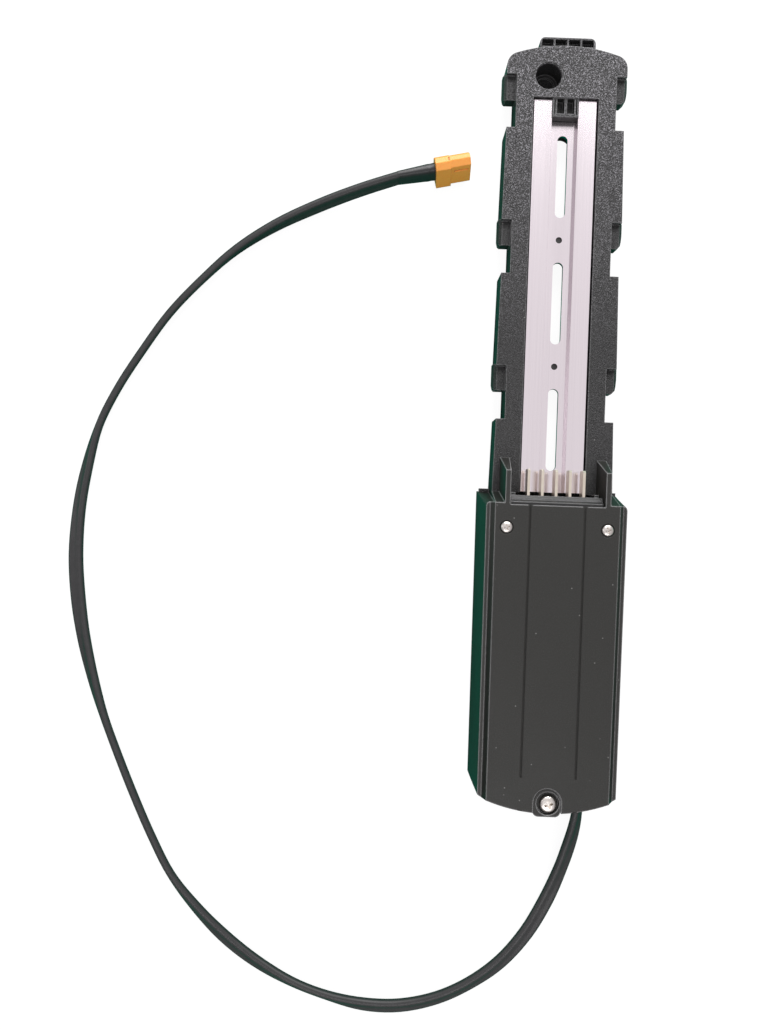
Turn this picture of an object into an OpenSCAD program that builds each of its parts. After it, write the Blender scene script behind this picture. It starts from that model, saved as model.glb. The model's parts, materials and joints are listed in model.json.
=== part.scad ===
// Down-tube cradle for a slide-on e-bike battery, with its wiring box and power lead.
// Millimetres. X runs across, +Y towards the lock end, Z up from the frame tube.
// The origin is under the middle of the mouldings. The lead and its plug lie beside them.

/* [Plate] */
// Length of the cradle and its box together
total_l = 408; // [404:1:412]
// Width of the plate just above each hook window
plate_w = 63.8; // [63:0.2:65]
// Height of the plate above the frame tube
plate_h = 16; // [15.6:0.2:16.4]
// Radius of the curved lock end
end_r = 85; // [75:5:110]
// Thickness of the plate's walls
wall = 2.4; // [2:0.2:2.8]
// How much narrower each stretch is below a window than above the next one
flare = 0.8; // [0:0.2:1.2]

/* [Hook windows] */
// Lower edge of the window nearest to the box
window_y = 0.6; // [0:0.2:2]
// Distance from one window to the next
window_pitch = 77.3; // [76:0.1:78]
// Length of a window
window_l = 28.4; // [27:0.2:30]
// Length of the hook at the top of each window
hook_l = 13; // [11:0.5:14]
// Distance from the middle of the plate to the inner wall of a window
window_x = 26.5; // [26:0.1:27]

/* [Rail] */
// Width of the aluminium rail
rail_w = 33; // [32:0.5:33.5]
// Height of the rail's two running faces
rail_z = 14.3; // [14:0.1:14.6]
// Width of the channel that the bolt heads lie in
channel_w = 14; // [13:0.5:14]
// Thickness of the web under the channel
web_t = 2; // [1.6:0.2:2.4]
// Length of a bolt slot from end to end
slot_l = 44; // [40:1:46]
// Width of a bolt slot
slot_w = 5.5; // [5:0.1:6.5]
// Distance from one bolt slot to the next
slot_pitch = 68; // [67:0.5:69]
// Middle of the three bolt slots
slot_y = 64.2; // [63:0.2:66]

/* [Lock] */
// Diameter of the bore for the lock bolt
lock_d = 13.7; // [12:0.1:14.5]
// Depth of the bore
lock_depth = 11.5; // [9:0.5:12]

/* [Box] */
// Height of the cover
box_h = 32; // [31:0.5:34]
// Width of the cover at its foot
foot_w = 76.6; // [75:0.2:78]
// Width of the cover at its shoulder
shoulder_w = 72.6; // [72:0.2:73]
// Height of the shoulder
shoulder_z = 29.5; // [29:0.1:29.6]
// Width of the flat top
top_w = 64; // [62:0.5:65]
// Radius of the curved tail
tail_r = 88; // [80:2:110]
// Distance between the two guide horns
horn_gap = 48.6; // [48:0.2:49]
// Thickness of a guide horn
horn_t = 2.7; // [2:0.1:3.2]

/* [Contacts] */
// Number of contact blades
blade_count = 5; // [5:1:5]
// Distance from one blade to the next
blade_pitch = 7.15; // [6.8:0.05:7.4]
// Thickness of a blade
blade_t = 1.4; // [1:0.1:1.6]
// Height of a blade
blade_h = 7; // [6:0.5:7]

/* [Lead] */
// Width of the flat lead
lead_w = 8.4; // [7.6:0.2:8.6]
// Thickness of the flat lead
lead_t = 4.2; // [3.8:0.2:4.6]
// Width of the plug
plug_w = 16.6; // [16:0.2:17]
// Thickness of the plug
plug_t = 8.8; // [8.4:0.2:9]
// Length of the plug
plug_l = 18.8; // [17:0.2:20]

/* [Hidden] */
$fn = 64;
eps = 0.01;

// Plastics and metals
black_plastic = [0.27, 0.27, 0.26];
box_plastic = [0.22, 0.22, 0.21];
aluminium = [0.88, 0.85, 0.86];
bright_steel = [0.85, 0.82, 0.78];
tin = [0.80, 0.74, 0.64];
rubber = [0.2, 0.2, 0.2];
plug_orange = [0.95, 0.62, 0.25];
brass = [0.85, 0.68, 0.35];
red = [0.6, 0.1, 0.08];

// Along the length
lug_y = total_l / 2;
plate_end = lug_y - 4.8;
boss_end = -total_l / 2;
tail_end = boss_end + 2.1;
joint_y = -37.8;
cover_y = -44;
foot_y = -37.4;
sill_y = -44.8;
deck_end = -66;
windows = [for (i = [0:2]) window_y + i * window_pitch];
window_wall = window_x - wall;
bay_in = 19.5;
bay_top = plate_h - 2.6;
plate_corner = 7;

// Rail and its seat
seat_z = 8;
channel_z = seat_z + web_t;
rail_y0 = -37.5;
rail_y1 = 171.3;
seat_gap = 0.8;
seat_end = rail_y1 + 0.5;
tab_w = 13.8;
tab_y = 161.9;
slots = [for (i = [-1:1]) slot_y + i * slot_pitch];
tap_ys = [slot_y - slot_pitch / 2, slot_y + slot_pitch / 2];
tap_d = 3.4;
opening_w = 12;
opening_over = 5;
block_front = -39.9;
block_end = -56;
block_screw_x = 19.8;
block_screw_y = -59.6;

// Lock bore
lock_x = -9.6;
lock_y = 183.1;

// Saddle that the frame tube lies in
saddle_r = 60;
saddle_depth = 2;

// Box
tray_t = 4;
skin = 2.4;
draft = 1.2;
taper = 0.25;
shoulder_in_x = 32;
foot_in = foot_w / 2 - skin;
shoulder_in = shoulder_w / 2 - skin;
tail_in = tail_end + skin;
cover_screw_x = 25.8;
cover_screw_y = -56.5;
cover_boss_z = 22;
end_screw_x = 1.2;
end_screw_y = -198;
recess_y = -196.3;
recess_r = 7.2;
ledge_z = box_h - 1.7;
recess_z = box_h - 4.5;
inner_r = 5.9;
boss_w = 2 * recess_r;
end_boss_z = recess_z - 2.6;
exit_x = 20.5;
exit_z = 12;
pad_y = -192.5;
spot_y = -197.3;
grommet_d = 12;
grommet_face = -203.5;

// Contact blades
blade_z = 19.2;
blade_tip = -26.1;
blade_tail = -58;
blade_xs = [for (i = [0:blade_count - 1]) (i - (blade_count - 1) / 2) * blade_pitch];

// The lead's route: x, y, z of its middle, and its roll about the route in degrees.
// It leaves the grommet on edge, drops to the ground and lies round the cradle in one wide loop.
ROUTE = [
    [20.5, -186, 12, 56],
    [20.5, -196, 12, 56],
    [20.5, -205, 12, 56],
    [19.7, -216, 10, 42],
    [17.6, -228, 7.4, 28],
    [14, -242, 4.8, 24],
    [7.4, -260, 2.7, 10],
    [-2.6, -278, 2.7, 14],
    [-16, -294, 2.9, 22],
    [-32, -306, 3.2, 32],
    [-50, -315, 3.2, 30],
    [-70, -320, 3, 26],
    [-90, -320, 3.1, 30],
    [-110, -315.5, 3.8, 52],
    [-130, -308.5, 3.9, 52],
    [-150, -298.2, 3.3, 34],
    [-168, -285, 3.2, 30],
    [-184, -269, 3.8, 48],
    [-197.6, -252, 4.2, 64],
    [-208.6, -232, 4.3, 66],
    [-218.6, -211, 4.3, 67],
    [-227.8, -190, 4.3, 67],
    [-236.8, -168, 4.2, 64],
    [-244, -147, 3.6, 46],
    [-250, -125, 3.1, 28],
    [-254, -103, 2.7, 14],
    [-256, -80, 2.7, 16],
    [-255, -56, 3.1, 30],
    [-251.6, -34, 3.5, 42],
    [-245.4, -10, 4.2, 68],
    [-235.8, 11, 4.3, 70],
    [-223.2, 32, 4.3, 70],
    [-209, 53, 4.3, 70],
    [-192, 72, 4.3, 72],
    [-174, 88.8, 4.3, 82],
    [-153, 102.8, 4.4, 98],
    [-130, 114, 5.1, 109],
    [-108, 122.4, 7.1, 109],
    [-87.5, 128.8, 9.2, 105]
];
ROUTE_STEPS = 2;
CORE_A = [[19.4, -186, 10.4, 0], [19, -170, 10, 0], [14, -140, 9.6, 0], [0, -110, 12, 0], [-6.6, -84, 20, 0],
    [-7.15, -72, 22.4, 0], [-7.15, -58, 22.7, 0]];
CORE_B = [[21.6, -186, 13.6, 0], [22, -170, 13, 0], [20, -140, 11, 0], [14, -110, 12.4, 0], [8, -84, 20, 0],
    [7.15, -72, 22.4, 0], [7.15, -58, 22.7, 0]];
core_d = 3.2;

// Plug: the middle of its back face, its heading in the ground plane and its roll
plug_back = [-67.9, 133, 9.2];
plug_turn = 12;
plug_roll = 75;
plug_bevel = 2.8;
grip_l = 8.2;
sleeve_l = 20;
sleeve_w = 11;
sleeve_t = 7;

// A plan outline with straight sides and a convex arc across its far end
module arc_ended(w, y0, y1, arc_r, corner_r) {
    middle = y1 - arc_r;
    cx = w / 2 - corner_r;
    cy = middle + sqrt(pow(arc_r - corner_r, 2) - cx * cx);
    reach = 1.4;
    translate([-w / 2, y0]) square([w, cy - y0]);
    for (side = [-1, 1]) translate([side * cx, cy]) circle(r = corner_r);
    intersection() {
        translate([0, middle]) circle(r = arc_r, $fn = 256);
        polygon([[0, middle], [reach * cx, middle + reach * (cy - middle)], [-reach * cx, middle + reach * (cy - middle)]]);
    }
}

// A profile drawn in X and Z, drawn out along Y from y0 to y1
module along_y(y0, y1) {
    translate([0, y1, 0]) rotate([90, 0, 0]) linear_extrude(y1 - y0) children();
}

// A profile drawn in Y and Z, drawn out along X from x0 to x1
module along_x(x0, x1) {
    translate([x0, 0, 0]) rotate([90, 0, 90]) linear_extrude(x1 - x0) children();
}

// A block given by its two opposite corners
module block(low, high) {
    translate(low) cube(high - low);
}

// The same block on both sides of the middle
module block_pair(low, high) {
    for (side = [0, 1]) mirror([side, 0, 0]) block(low, high);
}

// An upright slot with round ends, along Y
module slot(y, l, w, z0, z1) {
    for (end = [-1, 1]) translate([0, y + end * (l - w) / 2, z0]) cylinder(d = w, h = z1 - z0);
    block([-w / 2, y - (l - w) / 2, z0], [w / 2, y + (l - w) / 2, z1]);
}

// ---- cradle ----

// Outer form of the plate, with its narrowing stretches and its grip lug
module plate_form() {
    difference() {
        linear_extrude(plate_h) arc_ended(plate_w, deck_end, plate_end, end_r, plate_corner);
        for (y = windows, side = [0, 1]) mirror([side, 0, 0]) flare_cut(y);
    }
    lug();
}

// Thin wedge that takes the flare off the stretch below a window
module flare_cut(y) {
    low = y == windows[0] ? joint_y : y - window_pitch + window_l;
    edge = plate_w / 2;
    translate([0, 0, -1]) linear_extrude(plate_h + 2)
        polygon([[edge, low], [edge + 1, low], [edge + 1, y + 1], [edge - flare, y + 1], [edge - flare, y]]);
}

// Grip lug beyond the curved end
module lug() {
    lug_w = 29.6;
    lug_r = 2.8;
    lug_z0 = 3;
    lug_z1 = plate_h - 1;
    for (side = [-1, 1]) {
        translate([side * (lug_w / 2 - lug_r), lug_y - lug_r, lug_z0]) cylinder(r = lug_r, h = lug_z1 - lug_z0);
    }
    block([-lug_w / 2, plate_end - 4, lug_z0], [lug_w / 2, lug_y - lug_r, lug_z1]);
    block([-lug_w / 2 + lug_r, plate_end - 4, lug_z0], [lug_w / 2 - lug_r, lug_y, lug_z1]);
}

// The four pockets between the lug's ribs
module lug_pockets() {
    pitch = 7.1;
    pocket_w = 6.2;
    for (i = [-1.5:1:1.5]) {
        block([i * pitch - pocket_w / 2, plate_end + 0.1, plate_h - 5], [i * pitch + pocket_w / 2, lug_y - 0.9, plate_h]);
    }
}

// Window through the side of the plate, down to its inner wall
module window_cut(y) {
    block([window_x, y, -1], [plate_w / 2 + 1, y + window_l, plate_h + 1]);
    // Passage that lets a battery hook slide in under the plate below the window
    block([window_x, y - wall - 0.2, 3.4], [plate_w / 2 - wall - flare, y + 1, bay_top]);
}

// Hook: a low tongue across the upper part of a window, with a rolled outer edge
module hook(y, nose) {
    y0 = y + window_l - hook_l;
    y1 = y + window_l;
    x0 = window_x - 1;
    x1 = plate_w / 2 + 1.5;
    intersection() {
        along_y(y0, y1 + 1) polygon([
            [x0, 7], [x1, 7], [x1, 10.4], [x1 - 0.8, 12.3], [x1 - 2.2, 13.5], [x0, 13.5]
        ]);
        linear_extrude(plate_h) polygon([
            [x0, y0], [x1 - nose * 1.5, y0], [x1 - nose * 0.6, y0 + 0.9 * nose], [x1, y0 + 3.6 * nose], [x1, y1 + 1], [x0, y1 + 1]
        ]);
    }
}

// Seats cut into the top: the rail's bed and the terminal block's bed
module top_beds() {
    bed = rail_w / 2 + seat_gap;
    block([-bed, joint_y - 2, seat_z], [bed, seat_end, plate_h + 1]);
    block([-24.1, deck_end + 2, seat_z], [24.1, joint_y - 0.4, plate_h + 1]);
}

// Tab at the end of the rail's bed, which fills the rail's notch
module rail_tab() {
    top = plate_h - 0.8;
    window_w = 3.9;
    difference() {
        block([-tab_w / 2, tab_y, seat_z - 1], [tab_w / 2, seat_end + 1, top]);
        for (x = [-2.65, 2.65]) {
            block([x - window_w / 2, tab_y + 1.7, top - 4.2], [x + window_w / 2, seat_end - 0.2, top + 1]);
        }
        block_pair([5.4, tab_y + 1, top - 2.4], [6.1, seat_end - 0.2, top + 1]);
    }
}

// Openings under the bolt slots, down to the frame tube
module bolt_openings() {
    for (y = slots) {
        top_end = y == slots[2] ? slot_l / 2 + 1.3 : slot_l / 2 + opening_over;
        low_end = slot_l / 2 + opening_over;
        slot(y + (top_end - low_end) / 2, top_end + low_end, opening_w, -1, seat_z + 1);
    }
}

// Hollows in the underside, between crosswise ribs
module bays() {
    // Behind each window
    for (y = windows) {
        block_pair([bay_in, y - 0.1, -1], [window_wall, y + window_l / 2 - 1, bay_top]);
        block_pair([bay_in, y + window_l / 2 + 1, -1], [window_wall, y + window_l + 0.1, bay_top]);
    }
    // Between the windows
    for (y = [windows[0], windows[1]]) {
        low = y + window_l + wall;
        high = y + window_pitch - wall;
        mid = (low + high) / 2;
        block_pair([bay_in, low, -1], [plate_w / 2 - wall - flare, mid - 1, bay_top]);
        block_pair([bay_in, mid + 1, -1], [plate_w / 2 - wall - flare, high, bay_top]);
    }
    // Between the first window and the box
    for (i = [0:2]) {
        y = deck_end + 4 + i * 20.2;
        block_pair([bay_in + 5.5, y, -1], [plate_w / 2 - wall - flare, y + 18.2 - (i == 2 ? 0.6 : 0), bay_top]);
    }
    // Under the rail's bed
    for (i = [0:8]) {
        y = -34 + i * 22.4;
        block_pair([opening_w / 2 + 2, y, -1], [rail_w / 2 + 0.4, y + 20.6, seat_z - 2.4]);
    }
    // Under the lock end
    block([1.5, seat_end + 2.4, -1], [15.5, plate_end - 6, bay_top]);
    block_pair([bay_in, windows[2] + window_l + wall, -1], [plate_w / 2 - wall - 2, plate_end - 9, bay_top]);
}

// Lock bore with its smaller inner step
module lock_bore() {
    translate([lock_x, lock_y, plate_h - lock_depth]) cylinder(d = lock_d, h = lock_depth + 1);
    translate([lock_x, lock_y, plate_h - 0.6]) cylinder(d1 = lock_d, d2 = lock_d + 2, h = 1);
    translate([lock_x, lock_y, plate_h - lock_depth - 1.1]) cylinder(d = lock_d - 3.7, h = 2);
}

// Holes for the two screws that hold the rail from below
module rail_screw_holes() {
    for (y = tap_ys) translate([0, y, 0]) {
        translate([0, 0, -1]) cylinder(d = 8.2, h = 3.4);
        translate([0, 0, 2.4]) cylinder(d1 = 8, d2 = tap_d + 0.2, h = 2.2);
        translate([0, 0, 4]) cylinder(d = tap_d + 0.2, h = seat_z);
    }
}

// Tray that carries the box, with its ribs, posts and bosses
module tray() {
    intersection() {
        linear_extrude(tray_t) mirror([0, 1]) arc_ended(2 * foot_in - 0.8, -deck_end - 2, -tail_in - 0.2, tail_r - skin, 5.4);
        tapered() block([-foot_in + 0.8, boss_end, -1], [foot_in - 0.8, joint_y, tray_t + 1]);
    }
    block([end_screw_x - 4, end_screw_y - 4, 0], [end_screw_x + 4, end_screw_y + 6, tray_t]);
    // Lips in front of the box's shoulders
    for (side = [0, 1]) mirror([side, 0, 0]) along_x(plate_w / 2 - 3, foot_w / 2 - 1.2)
        polygon([[foot_y + 0.05, 0], [foot_y + 1.1, 0], [foot_y + 1.1, 4], [foot_y - 0.7, 4]]);
    for (y = [-96, -126, -156]) block([-33, y - 1, 0], [33, y + 1, tray_t + 2]);
    translate([end_screw_x, end_screw_y, 0]) cylinder(d = 8, h = end_boss_z);
    for (side = [-1, 1]) translate([side * cover_screw_x, cover_screw_y, plate_h - 2.6]) cylinder(d = 7.6, h = cover_boss_z - plate_h + 2.6);
}

// Blind pilot holes for the box's screws and the terminal block's screws
module pilot_holes() {
    translate([end_screw_x, end_screw_y, recess_z - 11.2]) cylinder(d = 3.3, h = 20);
    for (side = [-1, 1]) translate([side * cover_screw_x, cover_screw_y, box_h - 17]) cylinder(d = 2.5, h = 20);
    for (side = [-1, 1]) translate([side * block_screw_x, block_screw_y, 2.6]) cylinder(d = 2.5, h = seat_z);
}

// Long hollow for the frame tube
module saddle() {
    translate([0, 0, saddle_depth - saddle_r]) along_y(boss_end - 5, lug_y + 5) circle(r = saddle_r, $fn = 256);
}

module cradle() color(black_plastic) difference() {
    union() {
        difference() {
            plate_form();
            for (y = windows, side = [0, 1]) mirror([side, 0, 0]) window_cut(y);
            bays();
            lug_pockets();
            top_beds();
        }
        for (y = windows) {
            hook(y, 2.2);
            mirror([1, 0, 0]) hook(y, 0.9);
        }
        rail_tab();
        tray();
    }
    bolt_openings();
    rail_screw_holes();
    lock_bore();
    pilot_holes();
    saddle();
}

// ---- rail ----

// The rail's section: two running faces, the channel between them and a hollow under each face
module rail_section() {
    half = rail_w / 2;
    leg = 2.4;
    flange = rail_z - 2.2;
    foot = channel_w / 2 + 2.2;
    mid = (foot + half - leg) / 2;
    difference() {
        translate([-half, seat_z]) square([rail_w, rail_z - seat_z]);
        polygon([
            [-channel_w / 2 + 1, channel_z], [channel_w / 2 - 1, channel_z],
            [channel_w / 2, rail_z], [channel_w / 2, rail_z + 1], [-channel_w / 2, rail_z + 1], [-channel_w / 2, rail_z]
        ]);
        for (x = [-mid, mid]) translate([x - mid + foot, seat_z - 1]) square([half - leg - foot, flange - seat_z + 1]);
    }
}

module rail() color(aluminium) difference() {
    along_y(rail_y0, rail_y1) rail_section();
    block([-channel_w / 2 - 0.2, tab_y - 0.3, seat_z - 1], [channel_w / 2 + 0.2, rail_y1 + 1, rail_z + 1]);
    for (y = slots) slot(y, slot_l, slot_w, seat_z - 1, rail_z);
    for (y = tap_ys) translate([0, y, seat_z - 1]) cylinder(d = tap_d, h = 8);
}

// Countersunk screws that pull the rail down from under the cradle
module rail_screws() color(bright_steel) for (y = tap_ys) translate([0, y, 0]) {
    difference() {
        union() {
            translate([0, 0, 2.4]) cylinder(d1 = 8, d2 = tap_d + 0.2, h = 2.2);
            translate([0, 0, 4]) cylinder(d = tap_d, h = 5.2);
        }
        translate([0, 0, 2.3]) cross_recess(4.4, 1.3);
    }
}

// Cross recess for a screwdriver
module cross_recess(span, depth) {
    arm = span / 4.5;
    translate([-span / 2, -arm / 2, 0]) cube([span, arm, depth]);
    translate([-arm / 2, -span / 2, 0]) cube([arm, span, depth]);
}

// ---- box ----

// Cross-section of the cover: drafted walls, shoulder, bevel and flat top
module cover_section() {
    polygon([
        [-foot_w / 2, 0], [-shoulder_w / 2, shoulder_z], [-shoulder_w / 2 + 2, shoulder_z], [-top_w / 2, box_h],
        [top_w / 2, box_h], [shoulder_w / 2 - 2, shoulder_z], [shoulder_w / 2, shoulder_z], [foot_w / 2, 0]
    ]);
}

// The same section inside the walls
module cover_hollow_section() {
    roof = box_h - skin;
    polygon([
        [-foot_in, -1], [-shoulder_in, shoulder_z - skin], [-shoulder_in + 1.2, shoulder_z - skin], [-top_w / 2 + 1, roof],
        [top_w / 2 - 1, roof], [shoulder_in - 1.2, shoulder_z - skin], [shoulder_in, shoulder_z - skin], [foot_in, -1]
    ]);
}

// Narrows its children a little towards the tail, on both sides
module tapered() {
    pivot = -20;
    intersection_for(a = [-taper, taper]) {
        translate([0, pivot, 0]) rotate([0, 0, a]) translate([0, -pivot, 0]) children();
    }
}

// Side view of the cover, with the front that leans back above the plate
module cover_side(y_front, y_top, roof, low) {
    polygon([[boss_end - 1, low], [y_front, low], [y_front, plate_h], [y_top, roof], [boss_end - 1, roof]]);
}

// Outer form of the cover
module cover_form() {
    difference() {
        intersection() {
            tapered() along_y(boss_end - 4, joint_y + 4) cover_section();
            linear_extrude(box_h + 1) mirror([0, 1]) arc_ended(foot_w, -joint_y - 2, -tail_end, tail_r, 8);
            along_x(-foot_w, foot_w) cover_side(joint_y, cover_y, box_h, 0);
        }
        shoulder_cuts(0);
    }
    end_boss();
    for (side = [0, 1]) mirror([side, 0, 0]) horn();
}

// Takes the front of both shoulders back to a face that leans from the foot to the top
module shoulder_cuts(inset) {
    for (side = [0, 1]) mirror([side, 0, 0]) along_x(shoulder_in_x - inset, foot_w)
        polygon([[foot_y - inset, -2], [foot_y - inset, 0], [cover_y - inset + 0.2, shoulder_z], [cover_y - inset, box_h + 2],
            [foot_y + 9, box_h + 2], [foot_y + 9, -2]]);
}

// Boss for the end screw, standing a little beyond the curved tail
module end_boss() {
    r = 3;
    half = boss_w / 2;
    for (side = [-1, 1]) translate([side * (half - r), boss_end + r, 0]) cylinder(r = r, h = ledge_z);
    block([-half, boss_end + r, 0], [half, end_screw_y + 8, ledge_z]);
    block([-half + r, boss_end, 0], [half - r, end_screw_y + 8, ledge_z]);
}

// Guide horn that leads the battery's socket onto the blades, thicker at its foot
module horn() {
    toe_y = -19.8;
    lean = 7.5;
    x0 = horn_gap / 2;
    x1 = x0 + horn_t;
    intersection() {
        along_x(x0 - draft, x1 + draft)
            polygon([[joint_y - 6, plate_h], [toe_y, plate_h], [toe_y - lean, box_h], [joint_y - 12, box_h]]);
        along_y(joint_y - 12, toe_y) polygon([[x0 - draft, plate_h], [x1 + draft, plate_h], [x1, box_h], [x0, box_h]]);
    }
}

// Front notch between the horns, narrower at its foot
module notch_section(z1) {
    half = horn_gap / 2;
    polygon([[draft - half, -1], [draft - half, plate_h], [-half, box_h], [-half, max(z1, box_h)],
        [half, max(z1, box_h)], [half, box_h], [half - draft, plate_h], [half - draft, -1]]);
}

// Space inside the cover
module cover_hollow() {
    difference() {
        intersection() {
            tapered() along_y(boss_end - 4, joint_y + 4) cover_hollow_section();
            translate([0, 0, -1]) linear_extrude(box_h) mirror([0, 1])
                arc_ended(2 * foot_in, -joint_y, -tail_in, tail_r - skin, 5.6);
            along_x(-foot_w, foot_w) cover_side(joint_y - skin, cover_y - skin, box_h, -1);
        }
        shoulder_cuts(skin);
    }
    // Room for the post of the end screw
    block([end_screw_x - 4.6, end_screw_y - 4.5, -1], [end_screw_x + 4.6, end_screw_y + 9, end_boss_z]);
}

module controller_cover() color(box_plastic) difference() {
    union() {
        difference() {
            cover_form();
            cover_hollow();
            // Way through for the plate and the terminals
            block([-plate_w / 2 - 0.1, deck_end, -1], [plate_w / 2 + 0.1, joint_y + 1, plate_h]);
            along_y(sill_y, joint_y + 30) notch_section(box_h + 1);
            along_y(sill_y - 4, sill_y + 1) notch_section(box_h - skin);
        }
        // Roof over the end screw, tubes over the front screws, pad behind the grommet
        block([-recess_r - 1.6, end_screw_y - 3, end_boss_z], [recess_r + 1.6, recess_y + recess_r + 1.8, box_h - skin + 0.5]);
        for (side = [-1, 1]) translate([side * cover_screw_x, cover_screw_y, cover_boss_z]) {
            cylinder(d = 7.6, h = box_h - skin - cover_boss_z + 0.5);
        }
        intersection() {
            translate([exit_x, pad_y, exit_z]) rotate([90, 0, 0]) cylinder(d = 15.6, h = 8);
            linear_extrude(box_h) mirror([0, 1]) arc_ended(foot_w, 0, -tail_end, tail_r, 8);
        }
    }
    // Stepped recess for the end screw, open to the tail
    translate([0, recess_y, ledge_z]) cylinder(r = recess_r, h = 5);
    block([-recess_r, boss_end - 1, ledge_z], [recess_r, recess_y, box_h + 1]);
    translate([end_screw_x - 0.6, end_screw_y + 0.8, recess_z]) cylinder(r = inner_r, h = 6);
    translate([end_screw_x, end_screw_y, end_boss_z - 1]) cylinder(d = 4.4, h = 8);
    // Screw holes at the front
    for (side = [-1, 1]) translate([side * cover_screw_x, cover_screw_y, 0]) {
        translate([0, 0, cover_boss_z - 1]) cylinder(d = 3.3, h = 20);
        translate([0, 0, box_h - 0.8]) cylinder(d = 6.8, h = 2);
    }
    // Two fine grooves along the top
    for (side = [-1, 1]) block([side * 14 - 0.4, -184, box_h - 0.5], [side * 14 + 0.4, joint_y, box_h + 1]);
    // Hole for the grommet, with a flat outside
    translate([exit_x, pad_y + 1, exit_z]) rotate([90, 0, 0]) cylinder(d = grommet_d, h = 14);
    translate([exit_x, spot_y, exit_z]) rotate([90, 0, 0]) cylinder(d = grommet_d + 2.2, h = 12);
}

// Pan-head screw, standing on z = 0 with its shank below
module pan_screw(head_d, head_h, shank_d, shank_l, recess) {
    difference() {
        union() {
            cylinder(d = head_d, h = head_h * 0.45);
            translate([0, 0, head_h * 0.45 - eps]) cylinder(d1 = head_d, d2 = head_d * 0.62, h = head_h * 0.55);
            translate([0, 0, -shank_l]) cylinder(d = shank_d, h = shank_l + 0.2);
        }
        translate([0, 0, head_h - 1]) cross_recess(recess, 2);
    }
}

module cover_screws() color(bright_steel) for (side = [-1, 1]) {
    translate([side * cover_screw_x, cover_screw_y, box_h - 0.8]) pan_screw(6, 1.9, 2.5, 16, 3.4);
}

module end_screw() color(bright_steel)
    translate([end_screw_x, end_screw_y, recess_z]) pan_screw(9, 2.6, 3.3, 11, 5);

// ---- terminals ----

// Side view of the terminal block, stepped down towards the blades
module block_side() {
    top = box_h - skin - 0.1;
    polygon([
        [sill_y - 1.5, seat_z], [block_front, seat_z], [block_front, 26.8], [block_front - 1.5, 27.8],
        [block_front - 2.1, 27.8], [block_front - 3.4, top - 0.2], [sill_y - 1.5, top - 0.2]
    ]);
}

module terminal_block() color(box_plastic) difference() {
    union() {
        intersection() {
            along_x(-24, 24) block_side();
            along_y(sill_y - 2, block_front + 1) polygon([[-22.8, 0], [-22.8, plate_h], [-23.9, box_h], [23.9, box_h], [22.8, plate_h], [22.8, 0]]);
        }
        block([-19, block_end, seat_z], [19, sill_y - 1, box_h - skin - 0.3]);
        block_pair([16, block_end - 7, seat_z], [22.8, block_end + 1, seat_z + 3]);
        // Shoulders beside the blades
        block_pair([20.6, block_front - 1, seat_z], [22.8, block_front + 1.5, 23.5]);
    }
    for (x = blade_xs) {
        block([x - blade_t / 2, block_end - 1, blade_z], [x + blade_t / 2, block_front + 1, blade_z + blade_h]);
    }
    for (x = [-block_screw_x, block_screw_x]) translate([x, block_screw_y, seat_z - 1]) cylinder(d = 3, h = 6);
}

module terminal_block_screws() color(bright_steel) for (x = [-block_screw_x, block_screw_x]) {
    translate([x, block_screw_y, seat_z + 3]) pan_screw(5.4, 1.8, 2.5, 8, 3);
}

// Flat contact blade with bevelled tip corners
module contact_blade(i) color(tin) {
    z1 = blade_z + blade_h;
    bevel = 1;
    along_x(blade_xs[i] - blade_t / 2, blade_xs[i] + blade_t / 2) polygon([
        [blade_tail, blade_z], [blade_tip - bevel, blade_z], [blade_tip, blade_z + bevel],
        [blade_tip, z1 - bevel], [blade_tip - bevel, z1], [blade_tail, z1]
    ]);
}

// ---- cords ----

// Catmull-Rom point between p1 and p2
function blend_point(p0, p1, p2, p3, t) = 0.5 * (2 * p1 + (p2 - p0) * t
    + (2 * p0 - 5 * p1 + 4 * p2 - p3) * t * t + (3 * p1 - p0 - 3 * p2 + p3) * t * t * t);

// Route with steps points on each stretch between two given ones
function fine_route(r, steps) = let (n = len(r) - 1) [
    for (i = [0:n - 1], s = [0:steps - 1])
        blend_point(r[max(i - 1, 0)], r[i], r[i + 1], r[min(i + 2, n)], s / steps),
    r[n]
];

function unit(v) = v / norm(v);
function place(p) = [p[0], p[1], p[2]];

// Heading of the route at point i
function heading(r, i) = unit(place(r[min(i + 1, len(r) - 1)]) - place(r[max(i - 1, 0)]));

// A flat oval of the given width and thickness, as offsets across a route
function oval(w, t, sides) = [
    for (k = [0:sides - 1]) let (a = 360 * (k + 0.5) / sides)
        [w / 2 * sign(cos(a)) * pow(abs(cos(a)), 0.75), t / 2 * sign(sin(a)) * pow(abs(sin(a)), 0.6)]
];

// One ring of the oval, square to the heading and rolled about it
function ring(p, ahead, roll, outline) = let (
    across = unit(cross(ahead, [0, 0, 1])),
    up = cross(across, ahead)
) [
    for (q = outline) place(p)
        + across * (q[0] * cos(roll) - q[1] * sin(roll))
        + up * (q[0] * sin(roll) + q[1] * cos(roll))
];

// A tube of the outline along the route, its two ends square to end headings
module sweep_tube(route, outline, first, last) {
    n = len(route);
    m = len(outline);
    points = [
        for (i = [0:n - 1]) each ring(route[i], i == 0 ? first : i == n - 1 ? last : heading(route, i), route[i][3], outline)
    ];
    walls = [
        for (i = [0:n - 2], k = [0:m - 1]) [i * m + k, i * m + (k + 1) % m, (i + 1) * m + (k + 1) % m, (i + 1) * m + k]
    ];
    polyhedron(points, concat([[for (k = [m - 1:-1:0]) k]], walls, [[for (k = [0:m - 1]) (n - 1) * m + k]]), convexity = 6);
}

plug_ahead = [cos(plug_turn), sin(plug_turn), 0];

module power_cable() color(rubber)
    sweep_tube(fine_route(ROUTE, ROUTE_STEPS), oval(lead_w, lead_t, 10), [0, -1, 0], plug_ahead);

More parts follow.
